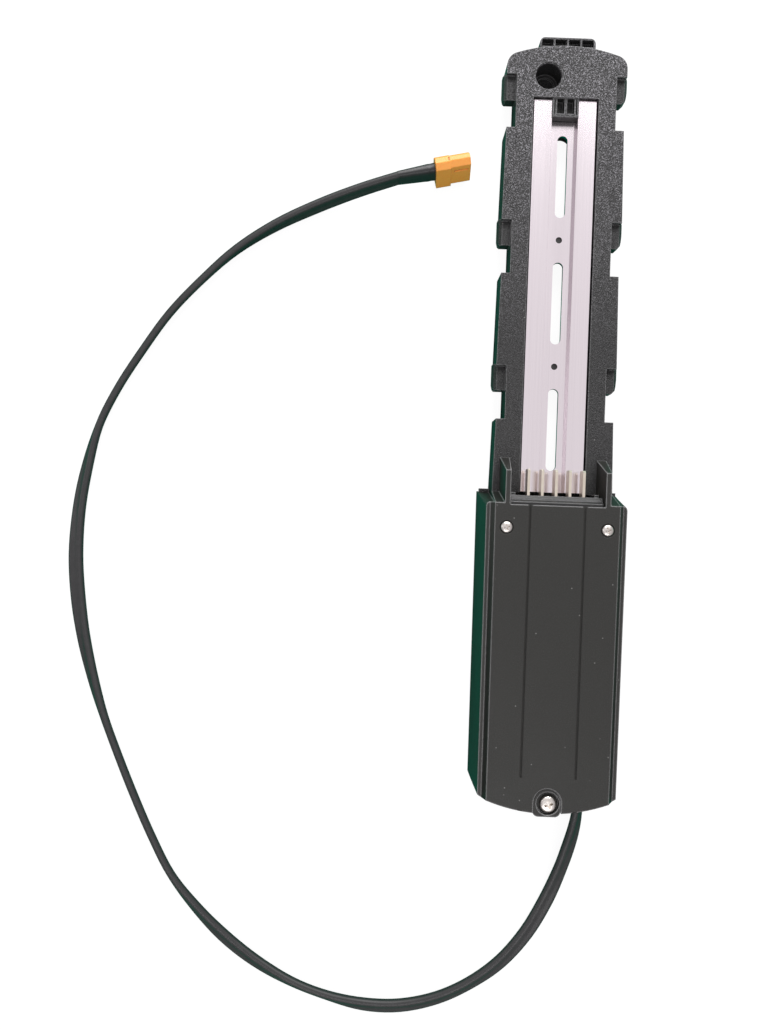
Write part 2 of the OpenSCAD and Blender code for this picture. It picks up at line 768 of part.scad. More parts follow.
module lead_core(route) sweep_tube(fine_route(route, 2), oval(core_d, core_d, 8), [0, 1, 0], [0, 1, 0]);

module lead_positive() color(red) lead_core(CORE_A);
module lead_negative() color(rubber) lead_core(CORE_B);

// Rubber grommet with a collar outside and a flange inside
module cable_grommet() color(rubber) difference() {
    translate([exit_x, 0, exit_z]) rotate([90, 0, 0]) {
        translate([0, 0, -spot_y]) cylinder(d = grommet_d + 2, h = spot_y - grommet_face);
        translate([0, 0, -pad_y - 1]) cylinder(d = grommet_d, h = pad_y - spot_y + 2);
        translate([0, 0, -pad_y - 2.2]) cylinder(d = grommet_d + 3, h = 2.2);
    }
    translate([exit_x, -180, exit_z]) rotate([90, 56, 0]) linear_extrude(30)
        polygon(oval(lead_w + 0.6, lead_t + 0.6, 10));
}

// Nylon tie round the lead behind the grommet
module cable_tie() color(box_plastic) translate([exit_x, -187.4, exit_z]) rotate([90, 56, 0]) {
    linear_extrude(2.5) difference() {
        polygon(oval(lead_w + 2.4, lead_t + 2.4, 16));
        polygon(oval(lead_w + 0.1, lead_t + 0.1, 10));
    }
    translate([-2, lead_t / 2 + 0.9, -0.3]) cube([4, 2.6, 2.8]);
}

// Shrunk sleeve between the lead and the plug
module shrink_sleeve() color(rubber) at_plug() translate([0, 0, -sleeve_l])
    linear_extrude(sleeve_l) polygon(oval(sleeve_w, sleeve_t, 16));

// Outline of the plug's body: a bar with one short side bevelled
module plug_outline(w, t, bevel) {
    polygon([
        [-w / 2, -t / 2], [w / 2 - bevel, -t / 2], [w / 2, -t / 2 + bevel],
        [w / 2, t / 2 - bevel], [w / 2 - bevel, t / 2], [-w / 2, t / 2]
    ]);
}

module at_plug() translate(plug_back) rotate([0, 0, plug_turn]) rotate([90, 0, 90]) rotate([0, 0, plug_roll]) children();

module plug_housing() color(plug_orange) at_plug() difference() {
    union() {
        linear_extrude(grip_l) plug_outline(plug_w, plug_t, plug_bevel);
        translate([0.6, 0, grip_l - 1]) linear_extrude(plug_l - grip_l + 1) plug_outline(plug_w - 1.2, plug_t - 1, plug_bevel - 0.2);
    }
    for (x = [-3.8, 4.2]) translate([x, 0, 3]) cylinder(d = 5.6, h = plug_l);
}

module plug_sockets() color(brass) at_plug() for (x = [-3.8, 4.2]) translate([x, 0, 3]) difference() {
    cylinder(d = 5.6, h = plug_l - 4.5);
    translate([0, 0, 2]) cylinder(d = 3.6, h = plug_l);
}

cradle();
rail();
rail_screws();
controller_cover();
cover_screws();
end_screw();
terminal_block();
terminal_block_screws();
contact_blade(0);  // contact_blade_1
contact_blade(1);  // contact_blade_2
contact_blade(2);  // contact_blade_3
contact_blade(3);  // contact_blade_4
contact_blade(4);  // contact_blade_5
lead_positive();
lead_negative();
cable_grommet();
cable_tie();
power_cable();
shrink_sleeve();
plug_housing();
plug_sockets();
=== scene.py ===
# %% [markdown]
# # A down-tube cradle for an e-bike battery
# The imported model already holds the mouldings, the rail, the blades and the screws at their true sizes.
# This lesson dresses it: it gives each part its finish, and it makes again the pieces whose look needs
# more than a plain solid, such as the twin lead, its shrunk sleeve, the orange plug and the screw heads.

# %% Load the frame
import json
import math
import bmesh
import bpy
from mathutils import Matrix, Vector

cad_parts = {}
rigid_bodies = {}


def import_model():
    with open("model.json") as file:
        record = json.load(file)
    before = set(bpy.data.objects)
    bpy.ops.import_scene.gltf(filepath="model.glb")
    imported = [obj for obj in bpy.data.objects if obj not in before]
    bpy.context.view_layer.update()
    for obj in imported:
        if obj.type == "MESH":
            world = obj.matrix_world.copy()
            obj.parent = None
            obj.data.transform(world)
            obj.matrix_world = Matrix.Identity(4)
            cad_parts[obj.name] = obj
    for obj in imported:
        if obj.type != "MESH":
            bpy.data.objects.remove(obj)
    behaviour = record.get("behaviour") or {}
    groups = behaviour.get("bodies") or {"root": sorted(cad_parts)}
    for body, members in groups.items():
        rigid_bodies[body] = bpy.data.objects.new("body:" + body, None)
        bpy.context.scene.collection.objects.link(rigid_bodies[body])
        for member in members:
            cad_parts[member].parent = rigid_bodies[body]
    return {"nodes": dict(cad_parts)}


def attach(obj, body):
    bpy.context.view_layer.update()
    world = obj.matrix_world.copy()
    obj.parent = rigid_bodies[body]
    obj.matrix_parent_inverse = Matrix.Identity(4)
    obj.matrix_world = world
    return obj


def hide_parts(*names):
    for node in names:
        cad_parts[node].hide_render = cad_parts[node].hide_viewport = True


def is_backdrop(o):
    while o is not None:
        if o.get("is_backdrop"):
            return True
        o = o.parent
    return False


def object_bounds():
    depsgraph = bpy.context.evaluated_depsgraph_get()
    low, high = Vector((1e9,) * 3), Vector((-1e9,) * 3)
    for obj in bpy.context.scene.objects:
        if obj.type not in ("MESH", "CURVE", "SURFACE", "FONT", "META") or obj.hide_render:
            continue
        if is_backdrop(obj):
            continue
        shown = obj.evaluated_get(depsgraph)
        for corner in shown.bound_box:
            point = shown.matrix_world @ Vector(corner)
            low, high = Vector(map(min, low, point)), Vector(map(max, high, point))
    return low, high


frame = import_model()
cad_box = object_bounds()
nodes = frame["nodes"]
MM = 0.001
TINY = 1e-6
print("cradle with its lead, in mm:", [round((high - low) / MM, 1) for low, high in zip(*cad_box)])

# %% [markdown]
# ## Where we look from
# The cradle lies flat on a table and the camera hangs close above it, looking straight down. So close a
# view shows the walls of a part that lies off to one side: here the left wall of the wiring box. The
# camera is turned by two degrees about its own line of sight, because the cradle doesn't lie quite square
# to it.

# %% Camera
LENS_SPOT = (-87.4 * MM, -52.7 * MM, 428 * MM)
LENS_TURN = math.radians(2.1)
FOCAL_LENGTH = 27.19
FILM_HEIGHT = 36
camera_data = bpy.data.cameras.new("overhead_camera")
camera_data.sensor_fit = "VERTICAL"
camera_data.sensor_height = FILM_HEIGHT
camera_data.lens = FOCAL_LENGTH
camera_data.clip_start = 0.01
camera = bpy.data.objects.new("overhead_camera", camera_data)
camera.location = LENS_SPOT
camera.rotation_euler = (0, 0, LENS_TURN)
bpy.context.scene.collection.objects.link(camera)
bpy.context.scene.camera = camera
bpy.context.scene.view_settings.view_transform = "Standard"
print("the camera sees", round(LENS_SPOT[2] * FILM_HEIGHT / FOCAL_LENGTH / MM), "mm of the table's height")

# %% [markdown]
# ## Small helpers
# Every new piece starts as a bmesh, gets its shape from bmesh operators, and ends as an object at the
# origin whose mesh is already in place. One helper does that last step for all of them, after it has
# merged doubled points and turned the faces outwards.

# %% Helper: a bmesh becomes a piece
def shade_round(piece, angle):
    """Shades the faces as one round surface, except where they meet at more than angle degrees."""
    faces = piece.data.polygons
    faces.foreach_set("use_smooth", [True] * len(faces))
    piece.data.set_sharp_from_angle(angle=math.radians(angle))


def dress(piece, material):
    """Gives the whole piece one material."""
    piece.data.materials.clear()
    piece.data.materials.append(material)


def finish_piece(bm, name, material=None, smooth=None, weld=1e-7):
    """Puts a bmesh into a new object at the origin. smooth is the angle up to which edges look round."""
    bmesh.ops.remove_doubles(bm, verts=bm.verts, dist=weld)
    bmesh.ops.recalc_face_normals(bm, faces=bm.faces)
    mesh = bpy.data.meshes.new(name)
    bm.to_mesh(mesh)
    bm.free()
    piece = bpy.data.objects.new(name, mesh)
    bpy.context.scene.collection.objects.link(piece)
    if smooth is not None:
        shade_round(piece, smooth)
    if material:
        dress(piece, material)
    return piece


# %% [markdown]
# Holes, recesses and grooves are cut with the Boolean modifier, as a drill or a mill would cut them. The
# modifiers are worked out at once and their result is kept as the mesh, so nothing live is left on a
# piece.

# %% Helpers: boxes, bevels and cuts
def box_between(bm, low, high):
    """Adds a plain box between two corners to a bmesh, and returns its corner points."""
    corners = bmesh.ops.create_cube(bm, size=1.0)["verts"]
    bmesh.ops.scale(bm, vec=[h - l for l, h in zip(low, high)], verts=corners)
    bmesh.ops.translate(bm, vec=[(l + h) / 2 for l, h in zip(low, high)], verts=corners)
    return corners


def bevel_edges(bm, edges, offset, segments):
    """Takes the edges off by offset. More segments make them rounder."""
    bmesh.ops.bevel(bm, geom=edges, offset=offset, offset_type="OFFSET", affect="EDGES", segments=segments,
                    profile=0.5, material=-1)


def combine(piece, tools):
    """Joins or cuts with each (tool, operation) in turn, keeps the result and removes the tools."""
    for tool, operation in tools:
        step = piece.modifiers.new(operation.lower(), "BOOLEAN")
        step.operation = operation
        step.solver = "EXACT"
        step.object = tool
    solid = piece.evaluated_get(bpy.context.evaluated_depsgraph_get())
    result = bpy.data.meshes.new_from_object(solid)
    piece.modifiers.clear()
    old = piece.data
    piece.data = result
    result.name = old.name
    bpy.data.meshes.remove(old)
    for tool, _ in tools:
        bpy.data.objects.remove(tool)
    return piece


def cut_away(piece, cutters):
    """Subtracts the cutters from a piece."""
    return combine(piece, [(cutter, "DIFFERENCE") for cutter in cutters])


# %% [markdown]
# ## The line of the lead
# The lead leaves the box on the right of its tail, lies round the cradle in one wide loop and ends beside
# the lock end. It is a flat lead, so each point also says how far it is rolled: 0 lies flat, 90 stands on
# edge. A few points are enough, because a smooth curve is drawn through them afterwards.

# %% Points of the lead, in mm, with the roll in degrees
ROUTE = [
    (20.5, -186, 12, 56),
    (20.5, -196, 12, 56),
    (20.5, -205, 12, 56),
    (19.7, -216, 10, 42),
    (17.6, -228, 7.4, 28),
    (14, -242, 4.8, 24),
    (7.4, -260, 2.7, 10),
    (-2.6, -278, 2.7, 14),
    (-16, -294, 2.9, 22),
    (-32, -306, 3.2, 32),
    (-50, -315, 3.2, 30),
    (-70, -320, 3, 26),
    (-90, -320, 3.1, 30),
    (-110, -315.5, 3.8, 52),
    (-130, -308.5, 3.9, 52),
    (-150, -298.2, 3.3, 34),
    (-168, -285, 3.2, 30),
    (-184, -269, 3.8, 48),
    (-197.6, -252, 4.2, 64),
    (-208.6, -232, 4.3, 66),
    (-218.6, -211, 4.3, 67),
    (-227.8, -190, 4.3, 67),
    (-236.8, -168, 4.2, 64),
    (-244, -147, 3.6, 46),
    (-250, -125, 3.1, 28),
    (-254, -103, 2.7, 14),
    (-256, -80, 2.7, 16),
    (-255, -56, 3.1, 30),
    (-251.6, -34, 3.5, 42),
    (-245.4, -10, 4.2, 68),
    (-235.8, 11, 4.3, 70),
    (-223.2, 32, 4.3, 70),
    (-209, 53, 4.3, 70),
    (-192, 72, 4.3, 72),
    (-174, 88.8, 4.3, 82),
    (-153, 102.8, 4.4, 98),
    (-130, 114, 5.1, 109),
    (-108, 122.4, 7.1, 109),
    (-87.5, 128.8, 9.2, 105),
]
ROUTE_STEPS = 5
LEAD_WIDTH = 8.4
LEAD_THICKNESS = 4.2
print("the route has", len(ROUTE), "points")


# %% Helper: a smooth curve through the points
def smooth_route(points, steps):
    """More points on the curve through the given ones."""
    given = [Vector(p) for p in points]
    fine = []
    last = len(given) - 1
    for i in range(last):
        a, b = given[max(i - 1, 0)], given[i]
        c, d = given[i + 1], given[min(i + 2, last)]
        for k in range(steps):
            t = k / steps
            bend = (2 * a - 5 * b + 4 * c - d) * t * t + (3 * b - a - 3 * c + d) * t * t * t
            fine.append(0.5 * (2 * b + (c - a) * t + bend))
    return fine + [given[last]]


# %% Helpers: a frame at each point
def place_on_route(point, ahead):
    """The frame at one point: across the lead, through its thickness, and along it."""
    across = ahead.cross(Vector((0, 0, 1))).normalized()
    wide = Matrix.Rotation(-math.radians(point[3]), 3, ahead) @ across
    thick = ahead.cross(wide).normalized()
    spot = Matrix.Identity(4)
    for row in range(3):
        spot[row][0], spot[row][1], spot[row][2] = wide[row], thick[row], ahead[row]
        spot[row][3] = point[row] * MM
    return spot


def frames_along(points, first, last):
    """One frame for each point. first and last are the headings at the two ends."""
    spots = []
    for i, point in enumerate(points):
        a, b = points[max(i - 1, 0)], points[min(i + 1, len(points) - 1)]
        ahead = (Vector(b[:3]) - Vector(a[:3])).normalized()
        if i == 0:
            ahead = Vector(first).normalized()
        if i == len(points) - 1:
            ahead = Vector(last).normalized()
        spots.append(place_on_route(point, ahead))
    return spots


# %% The lead's frames and its length
OUT_OF_BOX = (0, -1, 0)
PLUG_TURN = math.radians(12)
PLUG_AHEAD = (math.cos(PLUG_TURN), math.sin(PLUG_TURN), 0)
lead_points = smooth_route(ROUTE, ROUTE_STEPS)
lead_frames = frames_along(lead_points, OUT_OF_BOX, PLUG_AHEAD)


# %% [markdown]
# ## Shader groups
# A look that several materials share is built once, as a group with named inputs and outputs, and each
# material places it with its own values. The groups are wired from a few small helpers, so a line of code
# reads like the sum or the pattern that it makes.

# %% Helpers: new groups and new nodes
FLOAT = "NodeSocketFloat"
COLOUR = "NodeSocketColor"
VECTOR = "NodeSocketVector"


def new_group(name, inputs, outputs):
    """A shader group with the named sockets. Returns the tree, its input node and its output node."""
    tree = bpy.data.node_groups.new(name, "ShaderNodeTree")
    for label, (kind, value) in inputs.items():
        socket = tree.interface.new_socket(label, in_out="INPUT", socket_type=kind)
        socket.default_value = value
    for label, kind in outputs.items():
        tree.interface.new_socket(label, in_out="OUTPUT", socket_type=kind)
    return tree, tree.nodes.new("NodeGroupInput"), tree.nodes.new("NodeGroupOutput")


def feed(tree, node, sockets):
    """Links each named socket to its source, or gives it a plain value."""
    for socket, source in sockets.items():
        if isinstance(source, bpy.types.NodeSocket):
            tree.links.new(source, node.inputs[socket])
        else:
            node.inputs[socket].default_value = source
    return node


def add(tree, kind, sockets=None, **values):
    """Adds a node, sets its properties, and feeds its sockets."""
    node = tree.nodes.new(kind)
    for key, value in values.items():
        setattr(node, key, value)
    return feed(tree, node, sockets or {})


# %% Helpers: the sums and patterns that the groups are made of
MIX_FACTOR = 0
MIX_LOW = 6
MIX_HIGH = 7
MIX_RESULT = 2


def on_object(tree):
    """Each point's place on the object, in metres."""
    return add(tree, "ShaderNodeTexCoord").outputs["Object"]


def maths(tree, operation, first, second=0.5, clamp=False):
    """The result of one Math node."""
    node = add(tree, "ShaderNodeMath", {0: first, 1: second}, operation=operation, use_clamp=clamp)
    return node.outputs[0]


def spread(tree, value, given, wanted):
    """Maps a value from a given range to a wanted one, and holds it at the ends."""
    node = add(tree, "ShaderNodeMapRange", {"Value": value, "From Min": given[0], "From Max": given[1],
                                            "To Min": wanted[0], "To Max": wanted[1]})
    return node.outputs["Result"]


def noise(tree, place, scale, detail, roughness=0.5):
    """Soft random spots, as a value from 0 to 1."""
    node = add(tree, "ShaderNodeTexNoise", {"Vector": place, "Scale": scale, "Detail": detail,
                                            "Roughness": roughness})
    return node.outputs["Fac"]


def blend(tree, factor, low, high):
    """Mixes two colours by a factor."""
    node = add(tree, "ShaderNodeMix", {MIX_FACTOR: factor, MIX_LOW: low, MIX_HIGH: high}, data_type="RGBA")
    return node.outputs[MIX_RESULT]


# %% [markdown]
# ### Moulded plastic
# The black mouldings share a spark-eroded grain: fine pits that break the light into specks. Their edges
# are slightly round, and a paler colour is painted along them as a highlight, where the rounding would
# catch the light. A Bevel node turns the normals near an edge, so where its normal and the flat one
# disagree there is an edge, and that makes a mask. A few motes of dust lie on everything.

# %% The parts of a moulded surface
GRAIN_HEIGHT = 0.4 * MM
BEVEL_SAMPLES = 5
FLECK_RANGE = (0.5, 0.68)
CLOUD_SCALE = 24.0
MOTE_SCALE = 230.0
MOTE_RADIUS = 0.075
MOTE_RARITY = 0.72


def pitted_grain(tree, place, scale):
    """Returns the fine noise, and the height of the grain that it makes together with round pits."""
    fine = noise(tree, place, scale, 2.0, roughness=0.6)
    pits = add(tree, "ShaderNodeTexVoronoi", {"Vector": place, "Scale": scale}).outputs["Distance"]
    return fine, maths(tree, "ADD", fine, pits)


def edge_mask(tree, rounded, gain):
    """White where the rounded normal turns away from the flat one."""
    flat = add(tree, "ShaderNodeNewGeometry").outputs["Normal"]
    match = add(tree, "ShaderNodeVectorMath", {0: flat, 1: rounded}, operation="DOT_PRODUCT")
    turned = maths(tree, "SUBTRACT", 1.0, match.outputs["Value"])
    return maths(tree, "MULTIPLY", turned, gain, clamp=True)


def dust_motes(tree, place):
    """White in the middle of a few cells of a pattern."""
    cells = add(tree, "ShaderNodeTexVoronoi", {"Vector": place, "Scale": MOTE_SCALE})
    shade = add(tree, "ShaderNodeSeparateColor", {0: cells.outputs["Color"]}).outputs[0]
    small = maths(tree, "LESS_THAN", cells.outputs["Distance"], MOTE_RADIUS)
    few = maths(tree, "GREATER_THAN", shade, MOTE_RARITY)
    return maths(tree, "MULTIPLY", small, few)


# %% Group: moulded surface
def make_moulded_group():
    tree, inside, out = new_group(
        "moulded_surface",
        {"Scale": (FLOAT, 1400.0), "Depth": (FLOAT, 0.3), "Fleck": (FLOAT, 0.5),
         "Rounding": (FLOAT, 0.6 * MM), "Edge Gain": (FLOAT, 4.0)},
        {"Normal": VECTOR, "Flecks": FLOAT, "Cloud": FLOAT, "Edge": FLOAT, "Dust": FLOAT},
    )
    given = inside.outputs
    place = on_object(tree)
    fine, height = pitted_grain(tree, place, given["Scale"])
    bevel = add(tree, "ShaderNodeBevel", {"Radius": given["Rounding"]}, samples=BEVEL_SAMPLES)
    rounded = bevel.outputs["Normal"]
    bump = add(tree, "ShaderNodeBump", {"Strength": given["Depth"], "Distance": GRAIN_HEIGHT,
                                        "Height": height, "Normal": rounded})
    feed(tree, out, {
        "Normal": bump.outputs["Normal"],
        "Flecks": spread(tree, fine, FLECK_RANGE, (0.0, given["Fleck"])),
        "Cloud": noise(tree, place, CLOUD_SCALE, 4.0),
        "Edge": edge_mask(tree, rounded, given["Edge Gain"]),
        "Dust": dust_motes(tree, place),
    })
    return tree


moulded_group = make_moulded_group()
print(moulded_group.name, "has", len(moulded_group.nodes), "nodes")


# %% [markdown]
# ### Mottled metal and rubber
# Metal that has been handled and soft plastic that has been bent are never one even tone. One noise
# pattern moves the colour between two close tones and lifts the surface a little in the same places.

# %% Group: mottled surface
def make_mottled_group():
    tree, inside, out = new_group(
        "mottled_surface",
        {"Scale": (FLOAT, 220.0), "Detail": (FLOAT, 4.0), "Low": (COLOUR, (0, 0, 0, 1)),
         "High": (COLOUR, (1, 1, 1, 1)), "Bump": (FLOAT, 0.1), "Height": (FLOAT, 0.1 * MM)},
        {"Colour": COLOUR, "Normal": VECTOR},
    )
    given = inside.outputs
    spots = noise(tree, on_object(tree), given["Scale"], given["Detail"])
    bump = add(tree, "ShaderNodeBump", {"Strength": given["Bump"], "Distance": given["Height"],
                                        "Height": spots})
    feed(tree, out, {"Colour": blend(tree, spots, given["Low"], given["High"]),
                     "Normal": bump.outputs["Normal"]})
    return tree


mottled_group = make_mottled_group()
print(mottled_group.name, "has", len(mottled_group.nodes), "nodes")


# %% [markdown]
# ## Materials
# Each material is one Principled shader fed by the groups. Numbers that are the same all over a part sit
# on the shader's own sockets.

# %% Material helpers
def with_spaces(values):
    """Turns keyword names into socket names: an underscore stands for a space."""
    return {label.replace("_", " "): value for label, value in values.items()}


def new_material(name, **values):
    """A material with one Principled shader, and the values of its sockets."""
    material = bpy.data.materials.new(name)
    material.use_nodes = True
    tree = material.node_tree
    return material, tree, feed(tree, tree.nodes["Principled BSDF"], with_spaces(values))


def use_group(tree, group, **values):
    """Places a group with its own values, and returns its outputs."""
    return feed(tree, add(tree, "ShaderNodeGroup", node_tree=group), with_spaces(values)).outputs


# %% [markdown]
# ### The black mouldings
# Plate, box and terminal block are moulded in the same kind of black plastic, but they are dressed
# differently.
# The plate's pale flecks carry a painted highlight: they grow towards the lock end, where the lamp over it
# glints in the grain, and they stay on the upper faces. The box is smoother, and the painted highlight on
# its edges is kept off its two grooves and its screw seats, so these stay dark. Both masks read the place
# on the object.

# %% Where the flecks get a painted highlight and where the edges stay dark
GROOVE_X = 14
GROOVE_REACH = 1.2
SCREW_X = 25.8
SCREW_Y = -56.5
SEAT_REACH = 5.5
# Painted highlight: the range along Y over which the flecks brighten towards the lock end, and the height
# above which they show.
PAINTED_GLINT_Y = (40 * MM, 175 * MM)
PAINTED_GLINT_Z = (14 * MM, 15.5 * MM)


def away_from_grooves(tree, mask):
    """Keeps the edge mask off the cover's two grooves and its screw seats."""
    axes = add(tree, "ShaderNodeSeparateXYZ", {0: on_object(tree)}).outputs
    side = maths(tree, "ABSOLUTE", axes["X"])
    gap = maths(tree, "ABSOLUTE", maths(tree, "SUBTRACT", side, GROOVE_X * MM))
    off_groove = maths(tree, "GREATER_THAN", gap, GROOVE_REACH * MM)
    screw_x = maths(tree, "SUBTRACT", side, SCREW_X * MM)
    screw_y = maths(tree, "SUBTRACT", axes["Y"], SCREW_Y * MM)
    to_screw = add(tree, "ShaderNodeCombineXYZ", {"X": screw_x, "Y": screw_y}).outputs[0]
    reach = add(tree, "ShaderNodeVectorMath", {0: to_screw}, operation="LENGTH").outputs["Value"]
    off_seat = maths(tree, "GREATER_THAN", reach, SEAT_REACH * MM)
    return maths(tree, "MULTIPLY", mask, maths(tree, "MULTIPLY", off_groove, off_seat))


def painted_glint_towards_lock(tree, flecks):
    """Paints a highlight into the flecks: keeps them on the upper faces, and makes them grow towards the
    lock end, where the lamp glints in the grain.
    """
    axes = add(tree, "ShaderNodeSeparateXYZ", {0: on_object(tree)}).outputs
    share = spread(tree, axes["Y"], PAINTED_GLINT_Y, (0.12, 1.0))
    top = spread(tree, axes["Z"], PAINTED_GLINT_Z, (0.15, 1.0))
    return maths(tree, "MULTIPLY", flecks, maths(tree, "MULTIPLY", share, top))


# %% Black mouldings
DUST_GREY = (0.14, 0.14, 0.135, 1)
CLOUD_RANGE = (0.3, 0.7)


def moulded_plastic(name, dark, light, edge, roughness, grooved=False, painted_glint=False, **grain_values):
    """Black plastic: dark between the flecks, light on them, and paler again along the edges, as a painted
    highlight.
    """
    material, tree, shader = new_material(name, Roughness=roughness, IOR=1.5)
    grain = use_group(tree, moulded_group, **grain_values)
    # On the plate the flecks carry a painted highlight, brighter towards the lock end and only on the upper
    # faces.
    flecks = painted_glint_towards_lock(tree, grain["Flecks"]) if painted_glint else grain["Flecks"]
    # The pale edge colour is a painted highlight along the rounded edges; on the box it is kept off the
    # grooves and the screw seats.
    painted_edge_highlight = away_from_grooves(tree, grain["Edge"]) if grooved else grain["Edge"]
    colour = blend(tree, flecks, dark, light)
    colour = blend(tree, grain["Dust"], colour, DUST_GREY)
    colour = blend(tree, painted_edge_highlight, colour, edge)
    rough = spread(tree, grain["Cloud"], CLOUD_RANGE, (roughness - 0.04, roughness + 0.05))
    feed(tree, shader, {"Base Color": colour, "Roughness": rough, "Normal": grain["Normal"]})
    return material


# Each edge colour below is a painted highlight along that moulding's edges.
plate_plastic = moulded_plastic(
    "plate_plastic", dark=(0.01, 0.01, 0.01, 1), light=(0.42, 0.41, 0.44, 1), edge=(0.26, 0.26, 0.265, 1),
    roughness=0.5, painted_glint=True, Scale=1900.0, Depth=0.8, Fleck=0.75, Rounding=0.8 * MM)
box_plastic = moulded_plastic(
    "box_plastic", dark=(0.012, 0.012, 0.01, 1), light=(0.05, 0.05, 0.048, 1), edge=(0.38, 0.38, 0.385, 1),
    roughness=0.48, grooved=True, Scale=2000.0, Depth=0.15, Fleck=0.3, Rounding=1.0 * MM)
block_plastic = moulded_plastic(
    "block_plastic", dark=(0.014, 0.014, 0.014, 1), light=(0.05, 0.05, 0.048, 1),
    edge=(0.34, 0.34, 0.345, 1), roughness=0.42, Scale=2000.0, Depth=0.15, Fleck=0.3, Rounding=0.8 * MM)
black_nylon = moulded_plastic(
    "black_nylon", dark=(0.015, 0.015, 0.015, 1), light=(0.03, 0.03, 0.03, 1), edge=(0.05, 0.05, 0.05, 1),
    roughness=0.45, Depth=0.1, Fleck=0.3)
print("black plastics:", [m.name for m in (plate_plastic, box_plastic, block_plastic, black_nylon)])


# %% [markdown]
# ### Drawn aluminium
# The rail is pushed through a die and then left bare, so it has fine lines along its length. A noise
# pattern makes them when it is squeezed hard across the rail and hardly at all along it. Anisotropy
# spreads the highlight across the lines, as brushed or drawn metal does.

# %% Drawn aluminium for the rail
LINE_STRETCH = (2600, 12, 2600)


def drawn_aluminium():
    """Bare metal with fine lines along Y."""
    material, tree, shader = new_material("drawn_aluminium", Metallic=1.0, Roughness=0.18, Anisotropic=0.3)
    stretch = add(tree, "ShaderNodeMapping", {"Vector": on_object(tree), "Scale": LINE_STRETCH})
    lines = noise(tree, stretch.outputs["Vector"], 1.0, 2.0)
    tone = blend(tree, lines, (0.82, 0.75, 0.79, 1), (0.93, 0.86, 0.9, 1))
    bump = add(tree, "ShaderNodeBump", {"Strength": 0.08, "Distance": 0.1 * MM, "Height": lines})
    feed(tree, shader, {"Base Color": tone, "Normal": bump.outputs["Normal"]})
    return material


rail_metal = drawn_aluminium()
print("rail:", rail_metal.name)


# %% [markdown]
# ### Bright and soft finishes
# The cover's screws are nickelled, the rail's are blackened, the blades are tinned and the plug's sockets
# are plated. The lead, its shrunk sleeve and the red core are soft plastics. All of them use the mottled
# group, with close tones on the soft ones.

# %% Metals and soft plastics
def mottled(name, low, high, mottle, **values):
    """A material that takes its colour and its relief from the mottled group."""
    material, tree, shader = new_material(name, **values)
    surface = use_group(tree, mottled_group, Low=low, High=high, **mottle)
    feed(tree, shader, {"Base Color": surface["Colour"], "Normal": surface["Normal"]})
    return material


def bright_metal(name, low, high, roughness, scale=500.0):
    return mottled(name, low, high, {"Scale": scale}, Metallic=1.0, Roughness=roughness)


def soft_sheath(name, low, high, roughness):
    relief = {"Detail": 5.0, "Bump": 0.15, "Height": 0.2 * MM}
    return mottled(name, low, high, relief, Roughness=roughness, IOR=1.5)


screw_metal = bright_metal("nickel_screw", (0.62, 0.58, 0.54, 1), (0.92, 0.88, 0.84, 1), 0.3)
blade_metal = bright_metal("tinned_blade", (0.66, 0.58, 0.48, 1), (0.84, 0.78, 0.68, 1), 0.36, scale=300.0)
black_screw = bright_metal("blackened_screw", (0.03, 0.03, 0.03, 1), (0.07, 0.07, 0.07, 1), 0.45)
socket_metal = bright_metal("plated_socket", (0.7, 0.45, 0.16, 1), (0.9, 0.66, 0.3, 1), 0.28)
lead_sheath = soft_sheath("lead_sheath", (0.016, 0.016, 0.017, 1), (0.032, 0.032, 0.033, 1), 0.46)
shrunk_black = soft_sheath("shrunk_black", (0.012, 0.012, 0.013, 1), (0.024, 0.024, 0.025, 1), 0.4)
red_sheath = soft_sheath("red_sheath", (0.32, 0.012, 0.01, 1), (0.42, 0.02, 0.015, 1), 0.42)
print("metals:", [m.name for m in (screw_metal, blade_metal, black_screw, socket_metal)])
print("soft plastics:", [m.name for m in (lead_sheath, shrunk_black, red_sheath)])


# %% [markdown]
# ### Orange nylon
# The plug is moulded in bright nylon. A little light goes in and comes out again nearby, so its edges
# glow: subsurface scattering gives that, with red going deepest, and a paler colour painted along the edges
# adds a painted glow.

# %% Orange nylon for the plug
def plug_nylon():
    """Bright nylon with soft, glowing edges: subsurface light, and a painted glow of paler colour along
    them.
    """
    material, tree, shader = new_material("orange_nylon", Roughness=0.42, IOR=1.53, Subsurface_Weight=0.15,
                                          Subsurface_Scale=1.0 * MM, Subsurface_Radius=(1.0, 0.5, 0.2))
    surface = use_group(tree, mottled_group, Scale=700.0, Low=(0.95, 0.34, 0.045, 1),
                        High=(1.0, 0.42, 0.075, 1))
    grain = use_group(tree, moulded_group, Depth=0.1, Rounding=0.4 * MM, Edge_Gain=2.0)
    # The paler edge colour is a painted glow along the plug's edges.
    tone = blend(tree, grain["Edge"], surface["Colour"], (1.0, 0.56, 0.2, 1))
    feed(tree, shader, {"Base Color": tone, "Normal": grain["Normal"]})
    return material


plug_orange = plug_nylon()
print("plug:", plug_orange.name)

# %% [markdown]
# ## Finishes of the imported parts
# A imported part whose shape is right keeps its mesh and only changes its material. Each part's slots are
# given one finish from the list. The cover and the pan-head screws of the box are in the list too, and
# give way to new pieces further down.

